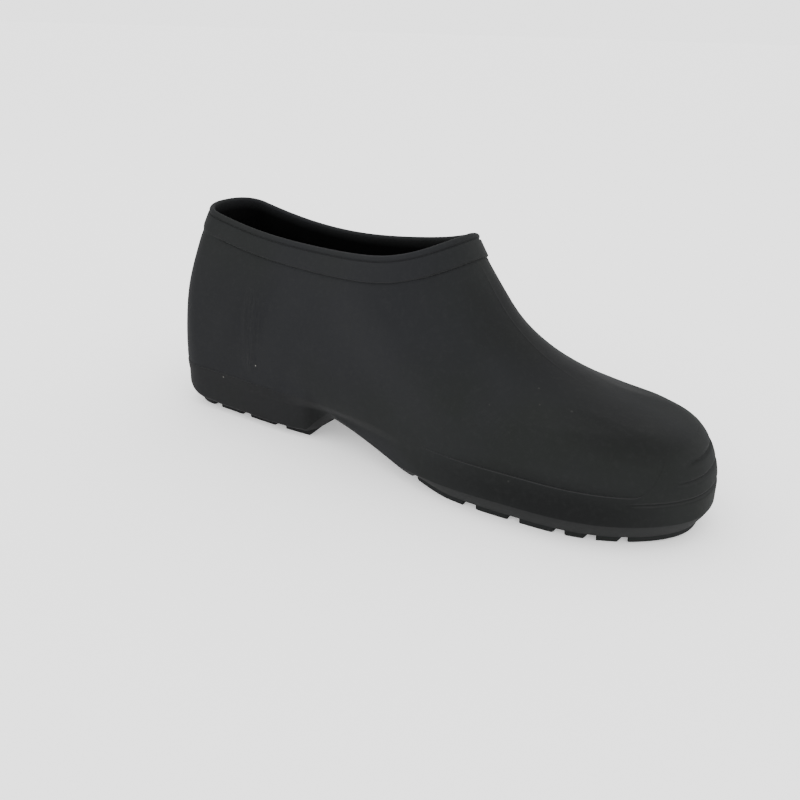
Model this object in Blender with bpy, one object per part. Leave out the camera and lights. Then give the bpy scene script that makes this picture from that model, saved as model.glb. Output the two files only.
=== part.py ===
"""A rubber overshoe for the right foot: a hollow upper, a cupped outsole with its lugs, and an insole.

The frame has +X from heel to toe, +Y to the inner side of the foot and +Z up, with the origin on the floor
under the middle of the overshoe. Sizes below are in millimetres, and MM turns them into metres.

All the pieces are worked out from one skin, the outside of the moulding. At each height the skin's outline is
a closed curve from the heel's back to the toe's front. A point on it is named by its turn, from 0 at the
heel's back, over the outer side, to pi at the toe, and back over the inner side.
"""

from collections import namedtuple

import bmesh
import bpy
import numpy as np
from mathutils import Euler, Matrix, Vector

MM = 0.001

# The walls and the gaps between the pieces.
WALL = 2.2
SKIRT_WALL = 2.0
GAP = 0.3
EDGE_ROUND = 0.4
INSOLE_THICK = 2.5
JOGGLE = 3.0

# The collar: a band round the topline, and a rolled bead on its edge.
BAND_HIGH = 12.0
BAND_PROUD = 0.8
BAND_EDGE = 0.5
BEAD_HIGH = 3.2
BEAD_PROUD = 1.0
BEAD_EDGE = 0.7

# The sole: its side wall is upright below WALL_UPRIGHT and ends in the foxing ledge.
WALL_UPRIGHT = 19.5
LEDGE_HIGH = 26.0
LUG_HIGH = 3.0
LUG_INSET = 0.5
LUG_TAPER = 0.4
LUG_START = 174.0
LUG_FADE = 6.0
ARCH_HIGH = 20.0
ARCH_POWER = 1.3
ARCH_EDGE = 3.2
BREAST_START = 100.5
BREAST_END = 117.0
TREAD_START = 199.0
SPRING_START = 250.0
SPRING_LENGTH = 60.0
SPRING_RISE = 1.2

# The ribbed bumper, which rises from the ledge round the toe. Its grooves are level, and turns are from the
# toe's middle.
BUMPER_TOP = 45.5
BUMPER_FULL_TURN = 0.27
BUMPER_END_TURN = 0.57
Rib = namedtuple("Rib", "z half_turn")
RIBS = (
    Rib(38.5, 0.30),
    Rib(31.0, 0.40),
    Rib(22.5, 0.65),
)
RIB_GROOVE_HALF = 1.1
RIB_DEEP = 1.0
RIB_FADE = 0.15

# The rounding of the plan at its two ends.
HEEL_ROUND_LOW = 30.0
HEEL_ROUND_RIM = 15.0
HEEL_POWER = 2.2
NOSE_POWER = 2.3

# The toe swings to the inner side.
SWING_START = 195.0
SWING_LENGTH = 115.0
SWING = 3.0

COLUMNS = 72

# Half widths of the skin at stations from the heel: by the sole, by the instep and by the collar, on the
# outer and on the inner side of the foot.
Station = namedtuple("Station", "x outer_low outer_mid inner_low inner_mid rim")
STATIONS = (
    Station(0, 40.5, 36.0, 40.5, 36.0, 24.0),
    Station(30, 38.5, 37.5, 38.5, 37.5, 23.5),
    Station(65, 38.0, 39.5, 37.5, 39.0, 21.5),
    Station(105, 36.5, 41.0, 34.5, 40.0, 21.5),
    Station(150, 40.5, 44.0, 39.5, 43.5, 29.5),
    Station(200, 50.0, 44.5, 50.0, 44.5, 34.5),
    Station(240, 49.5, 40.5, 51.0, 41.0, 35.0),
    Station(275, 47.5, 39.5, 49.0, 40.0, 33.5),
    Station(308, 43.0, 42.0, 43.5, 42.0, 32.0),
)
LOW_HEIGHT = 19.5
MID_HEIGHT = 53.5
RIM_HEIGHT = 106.5
WIDEST_HEIGHT = 131.0

# The skin's profile along its middle: up the back of the heel, and up the toe and the vamp.
Profile = namedtuple("Profile", "x z")
BACK = (
    Profile(2.0, -0.5),
    Profile(-3.5, 18.5),
    Profile(-5.5, 45.0),
    Profile(-1.5, 77.0),
    Profile(9.0, 113.5),
    Profile(11.5, 122.0),
)
FRONT = (
    Profile(310.0, -3.5),
    Profile(314.5, 17.0),
    Profile(311.5, 33.5),
    Profile(303.0, 45.5),
    Profile(282.0, 51.0),
    Profile(253.0, 57.0),
    Profile(224.5, 69.0),
    Profile(201.5, 88.5),
    Profile(185.0, 112.5),
    Profile(172.0, 138.0),
)

# How far the toe's rounding reaches back from the front at each height.
Nose = namedtuple("Nose", "z length")
NOSES = (
    Nose(20, 74.0),
    Nose(45, 70.0),
    Nose(60, 80.0),
    Nose(80, 82.0),
    Nose(105, 57.0),
    Nose(140, 31.0),
)

# The topline's height, and how much its inner side differs, at shares of the way from heel to front.
Topline = namedtuple("Topline", "share z inner_rise")
TOPLINE = (
    Topline(0.00, 119.5, 0.5),
    Topline(0.25, 111.0, 0.5),
    Topline(0.50, 108.0, 0.5),
    Topline(0.70, 110.0, 0.5),
    Topline(0.82, 113.5, 0.0),
    Topline(0.92, 118.5, -0.5),
    Topline(1.00, 123.5, -1.5),
)
SIDE_CHANGE = 0.4

# The floor of the cup, where the insole lies.
Floor = namedtuple("Floor", "x z")
FLOOR = (
    Floor(0, 12.5),
    Floor(55, 12.5),
    Floor(83, 13.5),
    Floor(103, 18.0),
    Floor(117, 21.5),
    Floor(132, 19.5),
    Floor(160, 14.0),
    Floor(195, 10.5),
    Floor(235, 10.0),
    Floor(320, 11.5),
)

# The sole's edge: how high its slanted underside reaches up the wall, how far that runs inwards, the power
# that rounds it (1 is a straight slant), how far the ledge at the wall's top stands out, and how deep the wall
# is hollowed at the waist.
Edge = namedtuple("Edge", "x bevel_high bevel_inset bevel_power ledge_proud recess")
EDGES = (
    Edge(-5, 18.0, 9.0, 2.0, 0.9, 0.0),
    Edge(15, 9.0, 6.0, 1.6, 0.9, 0.0),
    Edge(60, 4.5, 4.5, 1.0, 0.9, 0.0),
    Edge(95, 4.5, 4.5, 1.0, 0.8, 0.0),
    Edge(112, 5.5, 3.5, 1.0, 0.2, 1.6),
    Edge(135, 6.0, 4.0, 1.0, 0.1, 1.4),
    Edge(175, 7.5, 4.5, 1.0, 0.2, 0.4),
    Edge(210, 9.5, 5.0, 1.0, 0.8, 0.0),
    Edge(260, 10.5, 5.5, 1.0, 0.9, 0.0),
    Edge(320, 10.0, 5.0, 1.0, 0.9, 0.0),
)

# The grooves across the tread that part its lugs.
Groove = namedtuple("Groove", "x width turn")
GROOVES = (
    Groove(30.0, 6.0, 0),
    Groove(53.5, 6.5, 0),
    Groove(79.5, 7.5, 0),
    Groove(209.0, 7.0, 5),
    Groove(234.0, 6.0, 3),
    Groove(258.5, 5.0, 0),
    Groove(274.5, 5.0, -3),
    Groove(289.0, 3.5, -6),
)
GROOVE_DEEP = 2.8
GROOVE_BELOW = 5.0
GROOVE_SPAN = 150.0

# The upper's rows: level ones beside the bumper, and above it ones that are even along the vamp.
SIDE_ROWS = 4
VAMP_ROWS = 16
INNER_VAMP_ROWS = 13


def column(table, name):
    """One named column of a table."""
    return np.array([getattr(row, name) for row in table], float)


def smooth_through(knots, values):
    """The natural cubic spline through the values, as a function of the knots' quantity."""
    spans = np.diff(knots)
    count = len(knots)
    system = np.eye(count)
    right = np.zeros(count)
    for i in range(1, count - 1):
        system[i, i - 1 : i + 2] = spans[i - 1], 2 * (spans[i - 1] + spans[i]), spans[i]
        right[i] = 6 * ((values[i + 1] - values[i]) / spans[i] - (values[i] - values[i - 1]) / spans[i - 1])
    bend = np.linalg.solve(system, right)

    def curve(at):
        at = np.clip(at, knots[0], knots[-1])
        i = np.clip(np.searchsorted(knots, at) - 1, 0, count - 2)
        before = at - knots[i]
        after = knots[i + 1] - at
        cubic = (bend[i] * after**3 + bend[i + 1] * before**3) / (6 * spans[i])
        start = (values[i] / spans[i] - bend[i] * spans[i] / 6) * after
        end = (values[i + 1] / spans[i] - bend[i + 1] * spans[i] / 6) * before
        return cubic + start + end

    return curve


def smooth_table(table, name, by="x"):
    return smooth_through(column(table, by), column(table, name))


def smooth_path(table):
    """x as a function of height along the smooth path through a profile's points, and heights by length."""
    x, z = column(table, "x"), column(table, "z")
    length = np.concatenate([[0], np.cumsum(np.hypot(np.diff(x), np.diff(z)))])
    fine = np.linspace(0, length[-1], 800)
    path_x = smooth_through(length, x)(fine)
    path_z = np.maximum.accumulate(smooth_through(length, z)(fine))
    return lambda at: np.interp(at, path_z, path_x), path_x, path_z


def ease(share):
    """0 below 0, 1 above 1, and a smooth rise between."""
    share = np.clip(share, 0, 1)
    return share * share * (3 - 2 * share)


WIDTHS = {
    side: [smooth_table(STATIONS, name) for name in (f"{side}_low", f"{side}_mid", "rim")]
    for side in ("outer", "inner")
}
back_x, _, _ = smooth_path(BACK)
front_x, FRONT_PATH_X, FRONT_PATH_Z = smooth_path(FRONT)
nose_length = smooth_table(NOSES, "length", "z")
topline_height = smooth_table(TOPLINE, "z", "share")
topline_rise = smooth_table(TOPLINE, "inner_rise", "share")
floor_height = smooth_table(FLOOR, "z")
bevel_high = smooth_table(EDGES, "bevel_high")
bevel_inset = smooth_table(EDGES, "bevel_inset")
bevel_power = smooth_table(EDGES, "bevel_power")
ledge_proud = smooth_table(EDGES, "ledge_proud")
waist_recess = smooth_table(EDGES, "recess")


def half_width(side, x, z):
    """The skin's half width: the parabola over the three heights of the table."""
    low, mid, rim = (width(x) for width in WIDTHS[side])
    z = np.clip(z, LOW_HEIGHT, WIDEST_HEIGHT)
    to_low, to_mid, to_rim = z - LOW_HEIGHT, z - MID_HEIGHT, z - RIM_HEIGHT
    first = to_mid * to_rim / ((LOW_HEIGHT - MID_HEIGHT) * (LOW_HEIGHT - RIM_HEIGHT))
    second = to_low * to_rim / ((MID_HEIGHT - LOW_HEIGHT) * (MID_HEIGHT - RIM_HEIGHT))
    third = to_low * to_mid / ((RIM_HEIGHT - LOW_HEIGHT) * (RIM_HEIGHT - MID_HEIGHT))
    return low * first + mid * second + rim * third


def rounding(share, power):
    """A superellipse's height from 0 at its tip to 1 at its middle."""
    share = np.clip(share, 0, 1)
    return (1 - (1 - share) ** power) ** (1 / power)


def toe_spring(x):
    return SPRING_RISE * np.maximum((x - SPRING_START) / SPRING_LENGTH, 0) ** 2


def skin(turn, z):
    """The points of the skin at these turns and heights."""
    share = (1 - np.cos(turn)) / 2
    back, front = back_x(z), front_x(z)
    x = back + (front - back) * share
    outer = np.sin(turn) >= 0
    half = np.where(outer, half_width("outer", x, z), half_width("inner", x, z))
    heel_length = HEEL_ROUND_LOW + (HEEL_ROUND_RIM - HEEL_ROUND_LOW) * ease(z / RIM_HEIGHT)
    half = half * rounding((x - back) / heel_length, HEEL_POWER)
    half = half * rounding((front - x) / nose_length(z), NOSE_POWER)
    swing = SWING * np.maximum((x - SWING_START) / SWING_LENGTH, 0) ** 2
    return np.stack([x, np.where(outer, -half, half) + swing, z + toe_spring(x)], axis=-1)


def skin_outward(turn, z):
    """The skin's outward direction, level where the wall is upright."""
    small_turn, small_rise = 0.01, 0.3
    high = np.maximum(z, WALL_UPRIGHT + small_rise)
    along = skin(turn + small_turn, high) - skin(turn - small_turn, high)
    up = skin(turn, high + small_rise) - skin(turn, high - small_rise)
    out = np.cross(along, up)
    out[..., 2] = np.where(z < WALL_UPRIGHT, 0, out[..., 2])
    return out / np.linalg.norm(out, axis=-1, keepdims=True)


def row(z, proud):
    """A row of points round the shoe at these heights, this far out from the skin."""
    z, proud = np.broadcast_to(z, TURNS.shape), np.broadcast_to(proud, TURNS.shape)
    points = skin(TURNS, np.maximum(z, WALL_UPRIGHT))
    points[:, 2] += np.minimum(z - WALL_UPRIGHT, 0)
    return points + skin_outward(TURNS, z) * proud[:, None]


TURNS = np.arange(COLUMNS) * 2 * np.pi / COLUMNS
SHARES = (1 - np.cos(TURNS)) / 2
STATION_X = skin(TURNS, np.full(COLUMNS, WALL_UPRIGHT))[:, 0]
INNER_SIDE = ease(-np.sin(TURNS) / SIDE_CHANGE)
TOE_TURN = np.abs(np.pi - TURNS)
TOPLINE_Z = topline_height(SHARES) + topline_rise(SHARES) * INNER_SIDE
BUMPER_SHARE = ease((BUMPER_END_TURN - TOE_TURN) / (BUMPER_END_TURN - BUMPER_FULL_TURN))
SOLE_TOP = LEDGE_HIGH + (BUMPER_TOP - LEDGE_HIGH) * BUMPER_SHARE
LEDGE = ledge_proud(STATION_X)


def sole_bottom(x):
    """The height of the sole's underside: the heel's breast, the arch and the tread."""
    share = np.clip((x - BREAST_START) / (TREAD_START - BREAST_START), 0, 1)
    arch = ARCH_HIGH * (1 - share) ** ARCH_POWER
    breast = np.clip((x - BREAST_START) / (BREAST_END - BREAST_START), 0, 1)
    return arch * breast


def lug_height(x):
    """The lugs stand on the heel and on the tread, and not under the arch."""
    heel = ease((BREAST_START + LUG_FADE - x) / LUG_FADE)
    tread = ease((x - LUG_START) / LUG_FADE)
    return LUG_HIGH * np.maximum(heel, tread)


def wall_proud(z):
    """How far the sole's wall stands out of the skin, with the bumper's grooves."""
    low = ease((LEDGE_HIGH - z) / (LEDGE_HIGH - WALL_UPRIGHT))
    proud = LEDGE - waist_recess(STATION_X) * low
    for rib in RIBS:
        depth = RIB_DEEP * ease((rib.half_turn - TOE_TURN) / RIB_FADE)
        proud = proud - depth * np.clip(1 - np.abs(z - rib.z) / RIB_GROOVE_HALF, 0, 1)
    return proud


def vamp_shares(count):
    """Shares of the height from the bumper's top to the collar band, even along the vamp's profile."""
    top = TOPLINE_Z[COLUMNS // 2] - BAND_HIGH
    inside = (FRONT_PATH_Z > BUMPER_TOP) & (FRONT_PATH_Z < top)
    x, z = FRONT_PATH_X[inside], FRONT_PATH_Z[inside]
    length = np.concatenate([[0], np.cumsum(np.hypot(np.diff(x), np.diff(z)))])
    return np.interp(np.linspace(0, length[-1], count), length, (z - z[0]) / (z[-1] - z[0]))


def wall_heights(lowest, band, count):
    """The heights of the rows from the sole's top to the collar band."""
    levels = np.linspace(lowest.min(), lowest.max(), SIDE_ROWS, endpoint=False)
    side = [np.maximum(level, lowest) for level in levels]
    return side + between(lowest.max(), band, vamp_shares(count))


def between(low, high, shares):
    return [low + (high - low) * share for share in shares]


def upper_rows():
    """The upper's closed section: up its outside, over the bead and down its inside to the skirt."""
    foot = floor_height(STATION_X) + GAP
    seam = SOLE_TOP + GAP
    band = TOPLINE_Z - BAND_HIGH
    inset = WALL + GAP
    rows = [row(z, -inset) for z in between(foot, seam, (0, 0.5, 1))]
    rows += [row(z, 0) for z in wall_heights(seam, band, VAMP_ROWS)]
    bead = TOPLINE_Z - BEAD_HIGH
    rows += [
        row(band + BAND_EDGE, BAND_PROUD),
        row(bead - BEAD_EDGE, BAND_PROUD),
        row(bead, 0),
        row(bead + BEAD_EDGE, BEAD_PROUD),
        row(TOPLINE_Z - BEAD_EDGE, BEAD_PROUD),
        row(TOPLINE_Z, BEAD_PROUD - BEAD_EDGE),
        row(TOPLINE_Z, BEAD_EDGE - WALL),
        row(TOPLINE_Z - BEAD_EDGE, -WALL),
    ]
    rows += [row(z, -WALL) for z in wall_heights(seam + JOGGLE, band, INNER_VAMP_ROWS)[::-1]]
    skirt = inset + SKIRT_WALL
    rows += [row(z, -skirt) for z in between(foot, seam, (0.9, 0.45, 0))]
    return rows


def outsole_rows():
    """The outsole from the cup's floor, up inside its wall, over the ledge and down to the tread."""
    floor = floor_height(STATION_X)
    rows = [row(z, -WALL) for z in between(floor, SOLE_TOP, (0, 0.5, 1))]
    rows.append(row(SOLE_TOP, LEDGE - EDGE_ROUND))
    levels = [BUMPER_TOP]
    for rib in RIBS:
        levels += [rib.z + RIB_GROOVE_HALF, rib.z, rib.z - RIB_GROOVE_HALF]
    for level in levels:
        z = np.minimum(level, SOLE_TOP - EDGE_ROUND)
        rows.append(row(z, wall_proud(z)))
    bottom = sole_bottom(STATION_X)
    lug = lug_height(STATION_X)
    inset = bevel_inset(STATION_X)
    bevel = np.maximum(bevel_high(STATION_X), bottom + ARCH_EDGE)
    middle = (bevel + RIBS[-1].z - RIB_GROOVE_HALF) / 2
    proud = wall_proud(bevel)
    half_way = (bevel + bottom + lug) / 2
    rows += [
        row(middle, wall_proud(middle)),
        row(bevel, proud),
        row(half_way, proud - inset * 0.5 ** bevel_power(STATION_X)),
        row(bottom + lug, proud - inset),
        row(bottom + lug, proud - inset - LUG_INSET),
        row(bottom, proud - inset - LUG_INSET - LUG_TAPER),
    ]
    return rows


def insole_rows():
    """The insole on the cup's floor, inside the upper's skirt."""
    floor = floor_height(STATION_X)
    inset = WALL + GAP + SKIRT_WALL + GAP
    low = floor + GAP
    high = low + INSOLE_THICK
    return [
        row(low, -inset - EDGE_ROUND),
        row(low + EDGE_ROUND, -inset),
        row(high - EDGE_ROUND, -inset),
        row(high, -inset - EDGE_ROUND),
    ]


def row_faces(count, closed):
    """Quads between neighbouring rows, and round from the last row to the first where the section closes."""
    faces = []
    for i in range(count if closed else count - 1):
        low, high = i * COLUMNS, (i + 1) % count * COLUMNS
        for j in range(COLUMNS):
            k = (j + 1) % COLUMNS
            faces.append((low + j, low + k, high + k, high + j))
    return faces


def cap_faces(first):
    """Strips across a row, from each column to its mirror column."""
    faces = []
    for j in range(COLUMNS // 2):
        k = (COLUMNS - j) % COLUMNS
        corners = (first + j, first + j + 1, first + COLUMNS - j - 1, first + k)
        faces.append(tuple(dict.fromkeys(corners)))
    return faces


def loft(name, rows, closed, middle, collection, look):
    """A solid through the rows: a ring where the section closes, and otherwise with both ends capped."""
    points = (np.concatenate(rows) - middle) * MM
    faces = row_faces(len(rows), closed)
    if not closed:
        faces += cap_faces(0) + cap_faces((len(rows) - 1) * COLUMNS)
    mesh = bpy.data.meshes.new(name)
    mesh.from_pydata([tuple(point) for point in points], [], faces)
    body = bmesh.new()
    body.from_mesh(mesh)
    bmesh.ops.remove_doubles(body, verts=body.verts, dist=1e-6)
    bmesh.ops.recalc_face_normals(body, faces=body.faces)
    body.to_mesh(mesh)
    body.free()
    mesh.shade_smooth()
    mesh.set_sharp_from_angle(angle=np.radians(35))
    mesh.materials.append(look)
    piece = bpy.data.objects.new(name, mesh)
    collection.objects.link(piece)
    return piece


def groove_cutter(number, groove, middle, collection):
    """A box across the tread, with its top at the lugs' roots."""
    mesh = bpy.data.meshes.new(f"groove_{number}")
    body = bmesh.new()
    size = Vector((groove.width, GROOVE_SPAN, GROOVE_DEEP + GROOVE_BELOW)) * MM
    bmesh.ops.create_cube(body, size=1, matrix=Matrix.Diagonal(size.to_4d()))
    body.to_mesh(mesh)
    body.free()
    cutter = bpy.data.objects.new(mesh.name, mesh)
    rise = float(toe_spring(groove.x))
    centre_z = (GROOVE_DEEP - GROOVE_BELOW) / 2 + rise
    cutter.location = Vector((groove.x - middle[0], -middle[1], centre_z)) * MM
    slope = float(toe_spring(groove.x + 1) - toe_spring(groove.x - 1)) / 2
    cutter.rotation_euler = Euler((0, -np.arctan(slope), np.radians(groove.turn)))
    cutter.hide_render = True
    cutter.display_type = "WIRE"
    collection.objects.link(cutter)
    return cutter


def cut_grooves(outsole, middle, collection):
    for number, groove in enumerate(GROOVES, 1):
        cut = outsole.modifiers.new(f"groove_{number}", "BOOLEAN")
        cut.operation = "DIFFERENCE"
        cut.solver = "EXACT"
        cut.object = groove_cutter(number, groove, middle, collection)


def rubber(name, colour, roughness):
    look = bpy.data.materials.new(name)
    look.use_nodes = True
    shader = look.node_tree.nodes["Principled BSDF"]
    shader.inputs["Base Color"].default_value = (*colour, 1)
    shader.inputs["Roughness"].default_value = roughness
    shader.inputs["Metallic"].default_value = 0
    return look


def new_collection(name):
    collection = bpy.data.collections.new(name)
    bpy.context.scene.collection.children.link(collection)
    return collection


def main():
    for old in list(bpy.data.objects):
        bpy.data.objects.remove(old, do_unlink=True)
    parts = new_collection("rubber_overshoe")
    cutters = new_collection("cutters")
    sections = {"upper": upper_rows(), "outsole": outsole_rows(), "insole": insole_rows()}
    everything = np.concatenate([np.concatenate(rows) for rows in sections.values()])
    middle = (everything.min(axis=0) + everything.max(axis=0)) / 2
    middle[2] = 0
    upper_look = rubber("upper_rubber", (0.030, 0.031, 0.033), 0.55)
    sole_look = rubber("sole_rubber", (0.026, 0.026, 0.027), 0.6)
    insole_look = rubber("insole_rubber", (0.015, 0.015, 0.016), 0.75)
    loft("upper", sections["upper"], True, middle, parts, upper_look)
    outsole = loft("outsole", sections["outsole"], False, middle, parts, sole_look)
    loft("insole", sections["insole"], False, middle, parts, insole_look)
    cut_grooves(outsole, middle, cutters)


main()
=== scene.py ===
"""A black rubber overshoe for the right foot: its finished surfaces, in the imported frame.

Everything is worked out from one skin, the outside of the moulding, in millimetres. A point on it is named
by its height and its turn, from 0 at the heel's back over the outer side to pi at the toe, and back over the
inner side. x runs from heel to toe, y to the foot's inner side and z up from the ground.
"""

from collections import namedtuple

import bmesh
import bpy
import numpy as np
from bpy.props import FloatProperty, FloatVectorProperty, IntProperty, PointerProperty
from mathutils import Matrix, Vector


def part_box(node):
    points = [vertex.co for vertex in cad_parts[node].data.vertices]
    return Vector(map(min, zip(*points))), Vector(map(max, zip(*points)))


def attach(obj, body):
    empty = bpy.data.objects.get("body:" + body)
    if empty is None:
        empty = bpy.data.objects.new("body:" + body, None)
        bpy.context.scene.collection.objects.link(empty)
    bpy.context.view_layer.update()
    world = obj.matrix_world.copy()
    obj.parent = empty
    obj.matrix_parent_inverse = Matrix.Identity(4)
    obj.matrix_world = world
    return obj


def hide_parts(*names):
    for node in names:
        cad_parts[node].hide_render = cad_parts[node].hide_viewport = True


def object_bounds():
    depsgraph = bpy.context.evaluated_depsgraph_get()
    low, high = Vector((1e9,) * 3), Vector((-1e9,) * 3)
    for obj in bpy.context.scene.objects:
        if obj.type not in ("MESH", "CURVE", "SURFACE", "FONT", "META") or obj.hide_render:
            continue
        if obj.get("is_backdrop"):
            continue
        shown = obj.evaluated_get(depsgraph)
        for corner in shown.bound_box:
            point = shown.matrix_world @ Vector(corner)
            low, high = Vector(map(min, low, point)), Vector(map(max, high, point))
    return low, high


bl_info = {
    "name": "Rubber overshoe",
    "version": (1, 0, 0),
    "blender": (4, 5, 0),
    "location": "3D View > Sidebar > Overshoe",
    "description": "Builds a moulded rubber overshoe, its footbed, its look and its stage",
    "category": "Add Mesh",
}

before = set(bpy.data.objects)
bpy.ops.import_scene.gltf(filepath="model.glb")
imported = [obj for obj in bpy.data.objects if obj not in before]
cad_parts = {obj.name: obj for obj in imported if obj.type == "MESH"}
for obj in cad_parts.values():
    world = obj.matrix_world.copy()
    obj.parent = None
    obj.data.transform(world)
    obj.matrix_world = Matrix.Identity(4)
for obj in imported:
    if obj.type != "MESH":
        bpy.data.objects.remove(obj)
CAD_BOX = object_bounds()

# A millimetre, and how near two points are that become one, in metres.
MM = 0.001
MERGE = 5e-6


def table(columns, *rows):
    """A table whose rows have these named columns."""
    kind = namedtuple("Row", columns)
    return tuple(kind(*row) for row in rows)


# The tops of the upright wall, of the ledge and of the toe bumper, and the turns from the toe's middle
# between which the bumper runs down to the ledge.
WALL_UPRIGHT = 19.5
LEDGE_HIGH = 26.0
BUMPER_TOP = 45.5
BUMPER_FULL_TURN = 0.27
BUMPER_END_TURN = 0.57

# The underside: the arch's height, its curve's power and the least edge over it, the two ends of the heel's
# breast, the start of the tread, and the parabola of the toe spring.
ARCH_HIGH = 20.0
ARCH_POWER = 1.3
ARCH_EDGE = 3.2
BREAST_START = 100.5
BREAST_END = 117.0
TREAD_START = 199.0
SPRING_START = 250.0
SPRING_LENGTH = 60.0
SPRING_RISE = 1.2

# The rounding of the plan at its two ends: lengths at the heel, and powers of the superellipses.
HEEL_ROUND_LOW = 30.0
HEEL_ROUND_RIM = 15.0
HEEL_POWER = 2.2
NOSE_POWER = 2.3

# The toe swings to the inner side along a parabola.
SWING_START = 195.0
SWING_LENGTH = 115.0
SWING = 3.0

# Half widths of the skin by the sole, by the instep and by the collar, on the foot's outer and inner side,
# at stations from the heel, and the heights that they are for.
STATIONS = table(
    "x outer_low outer_mid inner_low inner_mid rim",
    (0, 40.5, 36.0, 40.5, 36.0, 24.0),
    (30, 38.5, 37.5, 38.5, 37.5, 23.5),
    (65, 38.0, 39.5, 37.5, 39.0, 21.5),
    (105, 36.5, 41.0, 34.5, 40.0, 21.5),
    (150, 40.5, 44.0, 39.5, 43.5, 29.5),
    (200, 50.0, 44.5, 50.0, 44.5, 34.5),
    (240, 49.5, 40.5, 51.0, 41.0, 35.0),
    (275, 47.5, 39.5, 49.0, 40.0, 33.5),
    (308, 43.0, 42.0, 43.5, 42.0, 32.0),
)
LOW_HEIGHT = 19.5
MID_HEIGHT = 53.5
RIM_HEIGHT = 106.5
WIDEST_HEIGHT = 131.0

# The skin's profile along its middle: up the back of the heel, and up the toe and the vamp.
BACK = table(
    "x z",
    (2.0, -0.5), (-3.5, 18.5), (-5.5, 45.0), (-1.5, 77.0), (9.0, 113.5), (11.5, 122.0),
)
FRONT = table(
    "x z",
    (310.0, -3.5), (314.5, 17.0), (311.5, 33.5), (303.0, 45.5), (282.0, 51.0), (253.0, 57.0),
    (224.5, 69.0), (201.5, 88.5), (185.0, 112.5), (172.0, 138.0),
)

# How far the toe's rounding reaches back from the front at each height.
NOSES = table(
    "z length",
    (20, 74.0), (45, 70.0), (60, 80.0), (80, 82.0), (105, 57.0), (140, 31.0),
)

# The topline's height, and how much its inner side differs, at shares of the way from heel to front.
TOPLINE = table(
    "share z inner_rise",
    (0.00, 119.5, 0.5),
    (0.25, 111.0, 0.5),
    (0.50, 108.0, 0.5),
    (0.70, 110.0, 0.5),
    (0.82, 113.5, 0.0),
    (0.92, 118.5, -0.5),
    (1.00, 123.5, -1.5),
)
SIDE_CHANGE = 0.4

# The floor of the cup, where the footbed lies.
CUP_FLOOR = table(
    "x z",
    (0, 12.5), (55, 12.5), (83, 13.5), (103, 18.0), (117, 21.5), (132, 19.5), (160, 14.0),
    (195, 10.5), (235, 10.0), (320, 11.5),
)

# The sole's edge: how high its slanted underside reaches up the wall and how far it runs inwards, the power
# that rounds it (1 is straight), how far the ledge stands out, which share of that is a sharp step, and how
# deep the wall is hollowed at the waist.
EDGES = table(
    "x bevel_high bevel_inset bevel_power ledge_proud ledge_sharp recess",
    (-5, 18.0, 9.0, 2.0, 0.9, 0.35, 0.0),
    (15, 9.0, 6.0, 1.6, 0.9, 0.55, 0.0),
    (60, 4.5, 4.5, 1.0, 0.9, 0.5, 0.0),
    (95, 4.5, 4.5, 1.0, 0.8, 0.1, 0.0),
    (112, 5.5, 3.5, 1.0, 0.2, 0.0, 1.6),
    (135, 6.0, 4.0, 1.0, 0.1, 0.0, 1.4),
    (175, 7.5, 4.5, 1.0, 0.2, 0.1, 0.4),
    (210, 9.5, 5.0, 1.0, 0.8, 0.7, 0.0),
    (260, 10.5, 5.5, 1.0, 0.9, 0.8, 0.0),
    (320, 10.0, 5.0, 1.0, 0.9, 0.8, 0.0),
)

# The ledge's step is whole from SHARP_TURN on, and TOE_SHARP of it is left within SOFT_TURN of the toe's
# middle. Above it the upper swells out to meet the rest, over SWELL_HIGH, and higher at the bumper's end.
SHARP_TURN = 0.60
SOFT_TURN = 0.48
TOE_SHARP = 0.08
SWELL_HIGH = 7.0
RAMP_TURN = 0.45
RAMP_HALF = 0.2
RAMP_SWELL = 11.0

# The foot of the collar band is softer round the heel's back, up to this share of the way to the toe.
BAND_SOFTER = 5.0
BAND_SOFT_SHARE = 0.16

# The level grooves of the toe bumper, each with its turn from the toe's middle to its end.
RIBS = table(
    "z half_turn",
    (38.5, 0.30), (31.0, 0.40), (22.5, 0.65),
)
RIB_FADE = 0.15

# The lugs, from the middle of one groove to the middle of the next, with the groove's width and its turn in
# degrees. A lug's own sizes are in the settings.
LUGS = table(
    "start end start_width end_width start_turn end_turn",
    (-20, 30.0, 0, 6.0, 0, 0),
    (30.0, 53.5, 6.0, 6.5, 0, 0),
    (53.5, 79.5, 6.5, 7.5, 0, 0),
    (79.5, 104.0, 7.5, 0, 0, 0),
    (176.0, 209.0, 0, 7.0, 5, 5),
    (209.0, 234.0, 7.0, 6.0, 5, 3),
    (234.0, 258.5, 6.0, 5.0, 3, 0),
    (258.5, 274.5, 5.0, 5.0, 0, -3),
    (274.5, 289.0, 5.0, 3.5, -3, -6),
    (289.0, 330.0, 3.5, 0, -6, 0),
)


def column(rows, name):
    """One named column of a table."""
    return np.array([getattr(row, name) for row in rows], float)


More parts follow.
